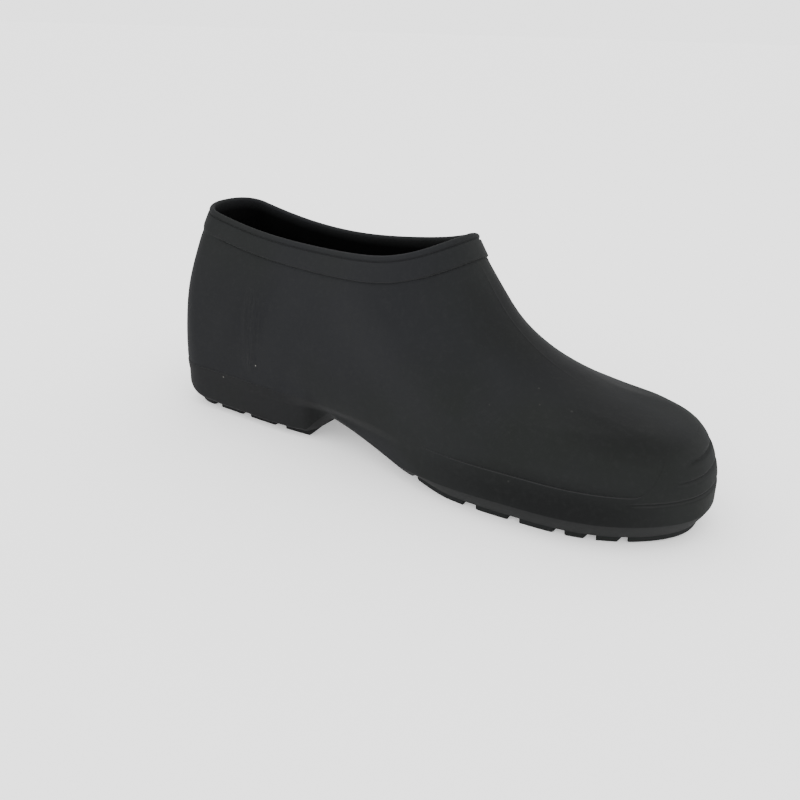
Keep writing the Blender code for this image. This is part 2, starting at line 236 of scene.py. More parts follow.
def smooth_through(knots, values):
    """The natural cubic spline through the values, as a function."""
    spans = np.diff(knots)
    count = len(knots)
    system = np.eye(count)
    right = np.zeros(count)
    for i in range(1, count - 1):
        system[i, i - 1 : i + 2] = spans[i - 1], 2 * (spans[i - 1] + spans[i]), spans[i]
        right[i] = 6 * ((values[i + 1] - values[i]) / spans[i] - (values[i] - values[i - 1]) / spans[i - 1])
    bend = np.linalg.solve(system, right)

    def curve(at):
        at = np.clip(at, knots[0], knots[-1])
        i = np.clip(np.searchsorted(knots, at) - 1, 0, count - 2)
        before = at - knots[i]
        after = knots[i + 1] - at
        cubic = (bend[i] * after**3 + bend[i + 1] * before**3) / (6 * spans[i])
        start = (values[i] / spans[i] - bend[i] * spans[i] / 6) * after
        end = (values[i + 1] / spans[i] - bend[i + 1] * spans[i] / 6) * before
        return cubic + start + end

    return curve


def smooth_table(rows, name, by="x"):
    """The spline through one column of a table, as a function of another."""
    return smooth_through(column(rows, by), column(rows, name))


def path_length(x, y):
    """The length along a path at each of its points."""
    return np.concatenate([[0], np.cumsum(np.hypot(np.diff(x), np.diff(y)))])


def smooth_path(rows):
    """x as a function of height along the smooth path through a profile's points, and the path itself."""
    x, z = column(rows, "x"), column(rows, "z")
    length = path_length(x, z)
    fine = np.linspace(0, length[-1], 4000)
    path_x = smooth_through(length, x)(fine)
    path_z = np.maximum.accumulate(smooth_through(length, z)(fine))
    return lambda at: np.interp(at, path_z, path_x), path_x, path_z


def ease(share):
    """0 below 0, 1 above 1, and a smooth rise between."""
    share = np.clip(share, 0, 1)
    return share * share * (3 - 2 * share)


def hump(distance, width):
    """A bell of height 1 at no distance, which has fallen to 0.37 at one width."""
    return np.exp(-((distance / width) ** 2))


WIDTHS = {
    side: [smooth_table(STATIONS, name) for name in (f"{side}_low", f"{side}_mid", "rim")]
    for side in ("outer", "inner")
}
back_x, _, _ = smooth_path(BACK)
front_x, FRONT_PATH_X, FRONT_PATH_Z = smooth_path(FRONT)
nose_length = smooth_table(NOSES, "length", "z")
topline_height = smooth_table(TOPLINE, "z", "share")
topline_rise = smooth_table(TOPLINE, "inner_rise", "share")
floor_height = smooth_table(CUP_FLOOR, "z")
bevel_high, bevel_inset, bevel_power, ledge_proud, ledge_sharp, waist_recess = (
    smooth_table(EDGES, name) for name in EDGES[0]._fields[1:]
)


def half_width(side, x, z):
    """The skin's half width: the parabola over the three heights of the table."""
    low, mid, rim = (width(x) for width in WIDTHS[side])
    z = np.clip(z, LOW_HEIGHT, WIDEST_HEIGHT)
    to_low, to_mid, to_rim = z - LOW_HEIGHT, z - MID_HEIGHT, z - RIM_HEIGHT
    first = to_mid * to_rim / ((LOW_HEIGHT - MID_HEIGHT) * (LOW_HEIGHT - RIM_HEIGHT))
    second = to_low * to_rim / ((MID_HEIGHT - LOW_HEIGHT) * (MID_HEIGHT - RIM_HEIGHT))
    third = to_low * to_mid / ((RIM_HEIGHT - LOW_HEIGHT) * (RIM_HEIGHT - MID_HEIGHT))
    return low * first + mid * second + rim * third


def rounding(share, power):
    """A superellipse's height from 0 at its tip to 1 at its middle."""
    share = np.clip(share, 0, 1)
    return (1 - (1 - share) ** power) ** (1 / power)


def toe_swing(x):
    """The toe's swing to the inner side: a parabola from where it starts."""
    return SWING * np.maximum((x - SWING_START) / SWING_LENGTH, 0) ** 2


def toe_spring(x):
    """The toe's rise off the ground: a parabola from where the spring starts."""
    return SPRING_RISE * np.maximum((x - SPRING_START) / SPRING_LENGTH, 0) ** 2


def skin(turn, z):
    """The points of the skin at these turns and heights."""
    share = (1 - np.cos(turn)) / 2
    back, front = back_x(z), front_x(z)
    x = back + (front - back) * share
    outer = np.sin(turn) >= 0
    half = np.where(outer, half_width("outer", x, z), half_width("inner", x, z))
    heel_length = HEEL_ROUND_LOW + (HEEL_ROUND_RIM - HEEL_ROUND_LOW) * ease(z / RIM_HEIGHT)
    half = half * rounding((x - back) / heel_length, HEEL_POWER)
    half = half * rounding((front - x) / nose_length(z), NOSE_POWER)
    return np.stack([x, np.where(outer, -half, half) + toe_swing(x), z + toe_spring(x)], axis=-1)


def skin_outward(turn, z):
    """The skin's outward direction, level where the wall is upright."""
    small_turn, small_rise = 0.01, 0.3
    high = np.maximum(z, WALL_UPRIGHT + small_rise)
    along = skin(turn + small_turn, high) - skin(turn - small_turn, high)
    up = skin(turn, high + small_rise) - skin(turn, high - small_rise)
    out = np.cross(along, up)
    out[..., 2] = np.where(z < WALL_UPRIGHT, 0, out[..., 2])
    return out / np.linalg.norm(out, axis=-1, keepdims=True)


def sheet(turns, z, proud):
    """Points on a grid of rows and turns: on the skin at the height z, then out of it by proud. Below the
    upright wall the skin goes straight down."""
    z, proud, turns = np.broadcast_arrays(z, proud, turns)
    points = skin(turns, np.maximum(z, WALL_UPRIGHT))
    points[..., 2] += np.minimum(z - WALL_UPRIGHT, 0)
    return points + skin_outward(turns, z) * proud[..., None]


def sole_bottom(x):
    """The height of the sole's underside: the arch falls by a power to the tread, and the breast climbs to
    it in a straight line."""
    share = np.clip((x - BREAST_START) / (TREAD_START - BREAST_START), 0, 1)
    arch = ARCH_HIGH * (1 - share) ** ARCH_POWER
    breast = np.clip((x - BREAST_START) / (BREAST_END - BREAST_START), 0, 1)
    return arch * breast


def turns_round(count, seam_turn, seam_count):
    """Even turns round the foot, with more of them over the mould seams at the toe and the heel."""
    even = np.arange(count) * 2 * np.pi / count
    close = np.linspace(-seam_turn, seam_turn, seam_count)
    turns = np.concatenate([even, np.pi + close, close % (2 * np.pi)])
    return np.unique(np.round(turns, 5))


class Round:
    """What is the same for all the rows of a piece: its turns, and the lines that follow from them."""

    def __init__(self, count, seam_turn=0.035, seam_count=23):
        self.turns = turns_round(count, seam_turn, seam_count)
        self.count = len(self.turns)
        share = (1 - np.cos(self.turns)) / 2
        inner = ease(-np.sin(self.turns) / SIDE_CHANGE)
        self.topline = topline_height(share) + topline_rise(share) * inner
        self.toe_turn = np.abs(np.pi - self.turns)
        bumper = ease((BUMPER_END_TURN - self.toe_turn) / (BUMPER_END_TURN - BUMPER_FULL_TURN))
        self.sole_top = LEDGE_HIGH + (BUMPER_TOP - LEDGE_HIGH) * bumper
        self.x = skin(self.turns, np.full(self.count, WALL_UPRIGHT))[:, 0]
        self.ledge = ledge_proud(self.x)
        toe = ease((self.toe_turn - SOFT_TURN) / (SHARP_TURN - SOFT_TURN))
        sharp = np.clip(ledge_sharp(self.x), 0, 1)
        self.sharp = sharp * toe + np.minimum(sharp, TOE_SHARP) * (1 - toe)
        self.swell_high = SWELL_HIGH + RAMP_SWELL * hump(self.toe_turn - RAMP_TURN, RAMP_HALF)
        self.band_soft = 1 + BAND_SOFTER * ease((BAND_SOFT_SHARE - share) / BAND_SOFT_SHARE)


def grid_faces(rows, columns, first=0, closed_rows=False):
    """Quads over a grid whose columns close on themselves, as an array of corner numbers."""
    i, j = np.meshgrid(np.arange(rows if closed_rows else rows - 1), np.arange(columns), indexing="ij")
    low, high = first + i * columns, first + (i + 1) % rows * columns
    k = (j + 1) % columns
    return np.stack([low + j, low + k, high + k, high + j], axis=-1).reshape(-1, 4)


# The collar's section: rows over the band's foot, up its face and round the bead, and the degree at which
# the bead's ellipse starts. The face ends this many band edges inside its two ends.
FOOT_ROWS = 9
FACE_ROWS = 6
BEAD_ROWS = 16
BEAD_START = -62
FACE_LOW = 1.05
FACE_HIGH = 1.4

# The neck under the bead: heights in band edges, and shares of the neck's depth. The line under the band
# has a place and a half width on the foot's step, which runs from -1 to 1.
NECK_HEIGHTS = (0.8, 0.45, 0.15)
NECK_SHARES = (0.35, 0.85, 1.0)
LINE_PLACE = -0.5
LINE_HALF = 0.4


def rim_path(ring, sizes):
    """The collar's section from the band's foot over the bead to its inner side, for each turn: depths under
    the topline, and distances out of the skin. The foot is an eased step less a bell, softer at the heel's
    back. The bead is an ellipse as high as given, and as wide as the wall and its overhang."""
    across = np.linspace(-1, 1, FOOT_ROWS)[:, None]
    soft = sizes.band_edge * ring.band_soft
    foot = sizes.band_high - across * soft
    line = sizes.band_line * hump(across - LINE_PLACE, LINE_HALF) / ring.band_soft
    foot_out = sizes.band_proud * ease((across + 1) / 2) - line
    share = np.linspace(0, 1, FACE_ROWS)[:, None]
    face_low = sizes.band_high - FACE_LOW * soft
    face = face_low + (sizes.bead_high + FACE_HIGH * sizes.band_edge - face_low) * share
    face_out = np.full((FACE_ROWS, ring.count), sizes.band_proud)
    neck = sizes.bead_high + sizes.band_edge * np.array(NECK_HEIGHTS)
    neck_out = sizes.band_proud - sizes.neck_deep * np.array(NECK_SHARES)
    angle = np.linspace(np.radians(BEAD_START), np.pi, BEAD_ROWS)
    half_thick = (sizes.bead_proud + sizes.wall) / 2
    bead = sizes.bead_high / 2 * (1 - np.sin(angle))
    bead_out = (sizes.bead_proud - sizes.wall) / 2 + half_thick * np.cos(angle)
    above = np.concatenate([neck, bead])[:, None] * np.ones(ring.count)
    above_out = np.concatenate([neck_out, bead_out])[:, None] * np.ones(ring.count)
    return np.concatenate([foot, face, above]), np.concatenate([foot_out, face_out, above_out])


def vamp_shares(top, count):
    """Shares of the height from the bumper's top to the collar band, even along the vamp's profile."""
    inside = (FRONT_PATH_Z > BUMPER_TOP) & (FRONT_PATH_Z < top)
    x, z = FRONT_PATH_X[inside], FRONT_PATH_Z[inside]
    length = path_length(x, z)
    return np.interp(np.linspace(0, length[-1], count), length, (z - z[0]) / (z[-1] - z[0]))


def wall_rows(ring, lowest, highest, side_count, vamp_count):
    """Heights of rows from one line round the foot to another: level beside the bumper and even above it."""
    levels = np.linspace(lowest.min(), lowest.max(), side_count, endpoint=False)[:, None]
    side = np.maximum(levels, lowest)
    share = vamp_shares(highest[np.argmin(ring.toe_turn)], vamp_count)[:, None]
    return np.concatenate([side, lowest.max() + (highest - lowest.max()) * share])


def add_piece(name, points, faces, look, node, sharp=40, inside=None):
    """Makes a piece from points in millimetres, which stands for a node and rides on the only body. inside
    is 1 for the points of the inner side."""
    mesh = bpy.data.meshes.new(name)
    mesh.from_pydata(((points - CENTRE) * MM).tolist(), [], [tuple(face) for face in faces])
    if inside is not None:
        mesh.attributes.new("inside", "FLOAT", "POINT").data.foreach_set("value", inside)
    merged = bmesh.new()
    merged.from_mesh(mesh)
    bmesh.ops.remove_doubles(merged, verts=merged.verts, dist=MERGE)
    merged.to_mesh(mesh)
    merged.free()
    mesh.validate()
    mesh.shade_smooth()
    mesh.set_sharp_from_angle(angle=np.radians(sharp))
    mesh.materials.append(look)
    piece = bpy.data.objects.new(name, mesh)
    bpy.context.scene.collection.objects.link(piece)
    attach(piece, "root")
    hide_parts(node)
    return piece


# The grid on which the sole's wall is measured.
CENTRE_TURNS = 360
CENTRE_ROWS = 26


def part_centre():
    """Where the frame's origin is from the heel: the sole's wall is centred where the node's box is."""
    ring = Round(CENTRE_TURNS)
    levels = np.linspace(WALL_UPRIGHT, BUMPER_TOP, CENTRE_ROWS)[:, None]
    wall = sheet(ring.turns, np.minimum(levels, ring.sole_top), ring.ledge).reshape(-1, 3)
    low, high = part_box("outsole")
    middle = (wall.min(axis=0) + wall.max(axis=0)) / 2 - np.array((low + high) / 2) / MM
    return np.array([middle[0], middle[1], 0.0])


CENTRE = part_centre()

# Where the wall turns into the slanted edge, it is rounded over this height. LUG_ROOM is a level under it.
EDGE_SOFT = 1.2
LUG_ROOM = 3.0

# Soft lines pressed into the upper's outside: the middle's place, the half length, the lean towards the toe
# in degrees, the depth and the half width.
CREASES = table(
    "side x z half_length lean deep half_wide",
    ("outer", 56, 62, 22, 4, 0.20, 3.0),
    ("outer", 63, 64, 20, 2, 0.16, 1.6),
    ("outer", 68, 60, 20, -2, 0.16, 1.6),
    ("outer", 75, 64, 22, 7, 0.20, 3.5),
    ("outer", 92, 40, 16, 24, 0.25, 5.0),
    ("inner", 60, 55, 18, 5, 0.20, 3.0),
    ("inner", 70, 60, 16, -6, 0.20, 3.0),
)
CREASE_SIDE = 10.0

# Slow swells of the soft wall: their lengths along the foot and up it, their start, and their height.
SWELLS = table(
    "along up start high",
    (83, 120, 0.4, 0.22),
    (-57, 74, 2.1, 0.16),
    (37, -61, 4.4, 0.10),
    (131, 47, 5.2, 0.14),
)
SWELL_ACROSS = 40.0

# The mould seam runs along the vamp and dies away over the toe. Up the heel's back it stands out less.
SEAM_START = 150.0
SEAM_START_FADE = 20.0
SEAM_END = 262.0
SEAM_END_FADE = 55.0
HEEL_SEAM_END = 20.0
HEEL_SEAM_SHARE = 0.6


def upper_relief(points, sizes):
    """How far the outside stands out of the smooth skin. A mould seam is a bell across the middle plane. A
    crease is a bell across its line times a bell along it, and a swell is a sine of x and z."""
    x, y, z = points[..., 0], points[..., 1], points[..., 2]
    vamp = ease((x - SEAM_START) / SEAM_START_FADE) * ease((SEAM_END - x) / SEAM_END_FADE)
    heel = ease((HEEL_SEAM_END - x) / HEEL_SEAM_END)
    relief = sizes.seam_proud * hump(y - toe_swing(x), sizes.seam_half_wide) * (vamp + HEEL_SEAM_SHARE * heel)
    for crease in CREASES:
        lean = np.radians(crease.lean)
        side = ease((-y if crease.side == "outer" else y) / CREASE_SIDE)
        along = (x - crease.x) * np.sin(lean) + (z - crease.z) * np.cos(lean)
        off = (x - crease.x) * np.cos(lean) - (z - crease.z) * np.sin(lean)
        line = hump(off, crease.half_wide) * hump(along, crease.half_length)
        relief = relief - side * crease.deep * line
    for swell in SWELLS:
        phase = 2 * np.pi * (x / swell.along + z / swell.up) + np.sign(swell.up) * y / SWELL_ACROSS
        relief = relief + swell.high * np.sin(phase + swell.start)
    return relief


# Rows of the shell's side and vamp, outside and inside. The inside starts over the skirt, which stands in
# the sole. Relief fades out over these heights at the sole and at the band.
SIDE_ROWS = 9
INNER_SIDE_ROWS = 5
INNER_VAMP_ROWS = 24
INNER_START = 1.0
SKIRT_SHARES = (0.98, 0.5, 0.0)
SOLE_FADE = 4.0
BAND_FADE = 6.0


def make_upper(sizes, look):
    """The hollow shell, one closed skin: its foot in the sole, its outside, the collar, its inside."""
    ring = Round(sizes.columns)
    depth, out = rim_path(ring, sizes)
    top = ring.topline - depth[0]
    outside = wall_rows(ring, ring.sole_top, top, SIDE_ROWS, sizes.rows)[:-1]
    smooth = sheet(ring.turns, outside, 0.0)
    above = outside - ring.sole_top
    relief = upper_relief(smooth, sizes) * ease(above / SOLE_FADE) * ease((top - outside) / BAND_FADE)
    relief = relief + ring.ledge * (1 - ring.sharp) * (1 - ease(above / ring.swell_high))
    inside_top = ring.topline - depth[-1]
    inside = wall_rows(ring, ring.sole_top + INNER_START, inside_top, INNER_SIDE_ROWS, INNER_VAMP_ROWS)
    inside = inside[::-1][1:]
    foot = floor_height(ring.x) + sizes.gap
    skirt = foot + (ring.sole_top - foot) * np.array(SKIRT_SHARES)[:, None]
    inset = sizes.wall + sizes.gap
    heights = [skirt[::-1], outside, ring.topline - depth, inside, skirt]
    prouds = [
        -inset * np.ones_like(skirt),
        relief,
        out,
        -sizes.wall * np.ones_like(inside),
        -(inset + sizes.skirt_wall) * np.ones_like(skirt),
    ]
    points = sheet(ring.turns, np.concatenate(heights), np.concatenate(prouds))
    rows = points.shape[0]
    faces = grid_faces(rows, ring.count, closed_rows=True)
    inner = np.zeros((rows, ring.count), np.float32)
    inner[-len(inside) - len(skirt) :] = 1
    points = points.reshape(-1, 3)
    return add_piece("upper_shell", points, faces, look, "upper", inside=inner.ravel())


def strips_across(first, columns):
    """Quads that close a row of the grid, each from a column to its mirror column on the other side."""
    j = np.arange(1, columns // 2)
    quads = np.stack([first + j, first + j + 1, first + columns - j - 1, first + columns - j], axis=-1)
    middle = columns // 2
    tips = [(first, first + 1, first + columns - 1)]
    tips.append((first + middle - 1, first + middle, first + middle + 1))
    return [tuple(quad) for quad in quads[: middle - 2]] + tips


def sole_wall(ring, levels, sizes):
    """How far the sole's wall stands out of the skin: the ledge, less the waist's hollow, less the bumper's
    grooves. A groove is a bell across its level, and fades towards its ends."""
    low = ease((LEDGE_HIGH - levels) / (LEDGE_HIGH - WALL_UPRIGHT))
    proud = ring.ledge - waist_recess(ring.x) * low
    for rib in RIBS:
        deep = sizes.rib_deep * ease((rib.half_turn - ring.toe_turn) / RIB_FADE)
        proud = proud - deep * hump(levels - rib.z, sizes.rib_half)
    return proud


# Rows of the sole: even ones down its wall, close ones over each groove for so many half widths, and those
# over the ledge's round and down the slanted edge, closer at its top.
WALL_ROWS = 46
GROOVE_ROWS = 11
GROOVE_REACH = 2.2
ROUND_ROWS = 6
SLANT_ROWS = 14
SLANT_POWER = 1.5

# The ledge's round is at least this small, and whole where the ledge stands out this far.
LEAST_ROUND = 0.03
WHOLE_LEDGE = 0.3


def make_outsole(sizes, look):
    """The cupped sole from its floor, up inside its rim, over the ledge and down the wall and the slanted
    edge, and the lugs. The edge's inset grows by a power of the way down."""
    ring = Round(sizes.columns)
    floor = floor_height(ring.x)
    rim = ring.sole_top
    cup = floor + (rim - floor) * np.array([[0.0], [0.5], [1.0]])
    edge = np.maximum(sizes.ledge_round * ring.sharp * ease(ring.ledge / WHOLE_LEDGE), LEAST_ROUND)
    corner = np.linspace(np.pi / 2, 0, ROUND_ROWS)[:, None]
    over = rim - edge * (1 - np.sin(corner))
    over_out = ring.ledge - edge * (1 - np.cos(corner))
    bottom = sole_bottom(ring.x)
    bevel = np.maximum(bevel_high(ring.x), bottom + ARCH_EDGE)
    even = np.linspace(BUMPER_TOP, bevel.min() + EDGE_SOFT, WALL_ROWS)
    near = sizes.rib_half * np.linspace(-GROOVE_REACH, GROOVE_REACH, GROOVE_ROWS)
    levels = np.sort(np.concatenate([even, *(rib.z + near for rib in RIBS)]))[::-1][:, None]
    wall = np.clip(levels, bevel + EDGE_SOFT, rim - edge)
    low = bottom + sizes.lug_high * lug_share(ring.x)
    down = np.linspace(0, 1, SLANT_ROWS)[:, None] ** SLANT_POWER
    slant = bevel + EDGE_SOFT * (1 - down) ** 3 - (bevel - low) * down
    slant_out = sole_wall(ring, bevel, sizes) - bevel_inset(ring.x) * down ** bevel_power(ring.x)
    heights = [cup, over, wall, slant]
    prouds = [-sizes.wall * np.ones_like(cup), over_out, sole_wall(ring, wall, sizes), slant_out]
    points = sheet(ring.turns, np.concatenate(heights), np.concatenate(prouds))
    rows = points.shape[0]
    faces = [tuple(face[::-1]) for face in grid_faces(rows, ring.count)]
    faces += strips_across(0, ring.count)
    faces += [face[::-1] for face in strips_across((rows - 1) * ring.count, ring.count)]
    points = points.reshape(-1, 3)
    for block in lug_blocks(ring, sizes):
        count = len(points)
        points = np.concatenate([points, block.points])
        faces += [tuple(np.add(face, count)) for face in block.faces]
    return add_piece("outsole_moulding", points, faces, look, "outsole")


# The heel's lugs end at the breast and the tread's start here, and the room for them opens over LUG_FADE.
TREAD_LUGS_START = 174.0
LUG_FADE = 6.0


def lug_share(x):
    """1 where the sole stands on lugs, 0 under the arch, with eased steps between."""
    heel = ease((BREAST_START + LUG_FADE - x) / LUG_FADE)
    return np.maximum(heel, ease((x - TREAD_LUGS_START) / LUG_FADE))


# How far apart the points of a lug's plan are, how far it reaches up into the sole, and how much wider it
# is there on each side.
LUG_SPACING = 1.6
LUG_OVERLAP = 0.6
LUG_FLARE = 0.2
LUG_ROUND_ROWS = 4

Block = namedtuple("Block", "points faces")


def cut(ring, x, turn, keep):
    """The part of a closed plan on one side of a straight cut across the foot: keep is 1 towards the toe and
    -1 towards the heel."""
    off = keep * (ring[:, 0] - x + ring[:, 1] * np.tan(np.radians(turn)))
    inside = off >= 0
    if inside.all():
        return ring
    first = np.flatnonzero(inside & ~np.roll(inside, 1))[0]
    ring, off, inside = (np.roll(part, -first, axis=0) for part in (ring, off, inside))
    last = np.flatnonzero(inside)[-1]
    after = (last + 1) % len(ring)
    ends = []
    for a, b in ((last, after), (0, -1)):
        share = off[a] / (off[a] - off[b])
        ends.append(ring[a] + (ring[b] - ring[a]) * share)
    return np.concatenate([ring[: last + 1], ends])


def even_ring(ring, spacing):
    """The same closed plan with its points evenly spaced."""
    closed = np.concatenate([ring, ring[:1]])
    length = path_length(*closed.T)
    at = np.linspace(0, length[-1], int(length[-1] / spacing), endpoint=False)
    return np.stack([np.interp(at, length, closed[:, 0]), np.interp(at, length, closed[:, 1])], axis=-1)


def lug_blocks(ring, sizes):
    """One block for each lug: the plan between its two cuts, down from inside the sole. Its foot is rounded
    with a quarter circle."""
    proud = sole_wall(ring, LUG_ROOM, sizes) - bevel_inset(ring.x) - sizes.lug_inset
    plan = sheet(ring.turns, 0.0, proud)[:, :2]
    for lug in LUGS:
        start = lug.start + lug.start_width / 2
        end = lug.end - lug.end_width / 2
        outline = cut(cut(plan, start, lug.start_turn, 1), end, lug.end_turn, -1)
        outline = even_ring(outline, LUG_SPACING)
        along = np.roll(outline, -1, axis=0) - np.roll(outline, 1, axis=0)
        inward = np.stack([-along[:, 1], along[:, 0]], axis=-1)
        inward = inward / np.linalg.norm(inward, axis=-1, keepdims=True)
        angle = np.linspace(0, np.pi / 2, LUG_ROUND_ROWS)
        lower = sizes.lug_round * (1 - np.sin(angle))
        inset = sizes.lug_round * (1 - np.cos(angle))
        high = np.concatenate([[sizes.lug_high + LUG_OVERLAP], lower])[:, None]
        shift = np.concatenate([[-LUG_FLARE], inset])[:, None, None]
        plans = outline + inward * shift
        z = sole_bottom(outline[:, 0]) + toe_spring(outline[:, 0]) + high
        points = np.concatenate([plans, z[..., None]], axis=-1)
        rows, columns = points.shape[:2]
        faces = [tuple(face[::-1]) for face in grid_faces(rows, columns)]
        faces.append(tuple(range(columns)))
        faces.append(tuple((rows - 1) * columns + np.arange(columns))[::-1])
        yield Block(points.reshape(-1, 3), faces)


FOOTBED_ROUND_ROWS = 5


def make_footbed(sizes, look):
    """The loose footbed: it follows the cup's floor, and its two edges are rounded with quarter circles."""
    ring = Round(sizes.columns // 2)
    floor = floor_height(ring.x) + sizes.gap
    high = floor + sizes.footbed_thick
    inset = sizes.wall + 2 * sizes.gap + sizes.skirt_wall
    edge = sizes.footbed_round
    angle = np.linspace(0, np.pi / 2, FOOTBED_ROUND_ROWS)[:, None]
    rise = edge * (1 - np.cos(angle))
    back = edge * (1 - np.sin(angle))
    heights = np.concatenate([floor + rise, high - rise[::-1]])
    out = -inset - np.concatenate([back, back[::-1]])
    points = sheet(ring.turns, heights, out)
    rows = points.shape[0]
    faces = [tuple(face) for face in grid_faces(rows, ring.count)]
    faces += [face[::-1] for face in strips_across(0, ring.count)]
    faces += strips_across((rows - 1) * ring.count, ring.count)
    return add_piece("footbed", points.reshape(-1, 3), faces, look, "insole")


def in_frame(spot):
    """A spot's place in the frame, in metres."""
    return (np.array([spot.x, spot.y, spot.z]) - CENTRE) * MM


class Nodes:
    """Puts nodes into a material's tree and links them."""

    def __init__(self, name):
        self.material = bpy.data.materials.new(name)
        self.material.use_nodes = True
        self.tree = self.material.node_tree
        self.shader = self.tree.nodes["Principled BSDF"]

    def give(self, value, socket):
        """Links an output to an input, or sets the input to a value."""
        if isinstance(value, bpy.types.NodeSocket):
            self.tree.links.new(value, socket)
        else:
            socket.default_value = value

    def add(self, kind, inputs=None, **settings):
        """A node with these settings and inputs."""
        node = self.tree.nodes.new(kind)
        for name, value in settings.items():
            setattr(node, name, value)
        for name, value in (inputs or {}).items():
            self.give(value, node.inputs[name])
        return node

    def set(self, name, value):
        """Gives a value or an output to one of the shader's inputs."""
        self.give(value, self.shader.inputs[name])

    def noise(self, place, scale, detail=2.0, rough=0.5):
        """Noise round 0.5, with so many spots in a metre."""
        inputs = {"Vector": place, "Scale": scale, "Detail": detail, "Roughness": rough}
        return self.add("ShaderNodeTexNoise", inputs).outputs["Fac"]

    def spread(self, value, low, high, to_low, to_high):
        """A value from low to high, stretched along a straight line and held at its ends."""
        names = ("From Min", "From Max", "To Min", "To Max")
        inputs = {"Value": value, **dict(zip(names, (low, high, to_low, to_high)))}
        return self.add("ShaderNodeMapRange", inputs).outputs["Result"]

    def patch(self, place, area):
        """1 in the inner three tenths of an ellipsoid's reach, falling to 0 at its edge."""
        inputs = {
            "Vector": place,
            "Location": in_frame(area),
            "Rotation": (0, np.radians(area.lean), 0),
            "Scale": np.array([area.long, area.wide, area.high]) * MM,
        }
        inside = self.add("ShaderNodeMapping", inputs, vector_type="TEXTURE").outputs["Vector"]
        gradient = self.add("ShaderNodeTexGradient", {"Vector": inside}, gradient_type="SPHERICAL")
        return self.spread(gradient.outputs["Fac"], 0.0, 0.7, 0.0, 1.0)

    def product(self, first, second):
        node = self.add("ShaderNodeMath", {0: first, 1: second}, operation="MULTIPLY")
        return node.outputs["Value"]

    def bump(self, height, distance, normal=None):
        """The normal of a surface with this relief, whose height is in metres."""
        inputs = {"Height": height, "Distance": distance}
        if normal:
            inputs["Normal"] = normal
        return self.add("ShaderNodeBump", inputs).outputs["Normal"]

    def mix(self, factor, first, second):
        """The colour between two others, or the first where the factor is 0."""
        node = self.add("ShaderNodeMix", data_type="RGBA")
        for number, value in ((0, factor), (6, first), (7, second)):
            self.give(value, node.inputs[number])
        return node.outputs[2]


# Light specks of dust that stick to the outer side, and how strongly each shows.
SPECKS = table(
    "x y z radius share",
    (68.5, -40.0, 38.0, 0.55, 0.8),
    (41.5, -39.3, 24.0, 0.6, 0.45),
    (41.0, -26.5, 97.0, 0.55, 0.35),
    (233.7, -21.0, 60.7, 0.6, 0.06),
    (238.1, -28.6, 56.2, 0.6, 0.06),
    (251.9, -22.7, 54.3, 0.8, 0.05),
    (217.6, -40.1, 54.9, 0.6, 0.05),
    (234.6, -49.7, 23.8, 0.8, 0.08),
)

# Where painted highlight and painted shade lie on the rubber, and where it is finely wrinkled: ellipsoids
# with half lengths along the foot, across it and up it, a lean about Y in degrees, and the strength at the
# middle.
AREA_COLUMNS = "x y z long wide high lean share"
# Painted highlights: a lit band where the quarter swells, and painted floor-bounce light along the arch's
# lower edge.
HIGHLIGHT_AREAS = table(
    AREA_COLUMNS,
    (160, -42, 60, 70, 40, 17, 36, 0.5),
    (150, -41.5, 15, 45, 14, 8, 9, 0.8),
)
# Painted shade: darkens the vamp's inner flank, the forefoot's sole wall, the toe cap's flank, the hollow
# before the heel breast and the heel's quarter.
SHADE_AREAS = table(
    AREA_COLUMNS,
    (222, 10, 72, 75, 40, 28, 34, 0.55),
    (255, -46, 17, 85, 30, 15, 0, 0.75),
    (276, -20, 51, 36, 28, 13, 3, 0.55),
    (107, -36, 14, 9, 24, 18, 0, 0.75),
    (40, -38, 60, 50, 30, 50, 0, 0.25),
)
WRINKLED_AREAS = table(
    AREA_COLUMNS,
    (65, -40, 66, 9, 16, 26, 0, 1.0),
    (64, -40, 39, 7, 12, 7, 0, 1.0),
)

# The roughness changes by ROUGH_CHANGE with the clouds, a wrinkle is long by the inverse of
# WRINKLE_SQUEEZE, and a speck is whole within SPECK_CORE of its radius.
ROUGH_CHANGE = 0.05
WRINKLE_SQUEEZE = 0.06
SPECK_CORE = 0.6


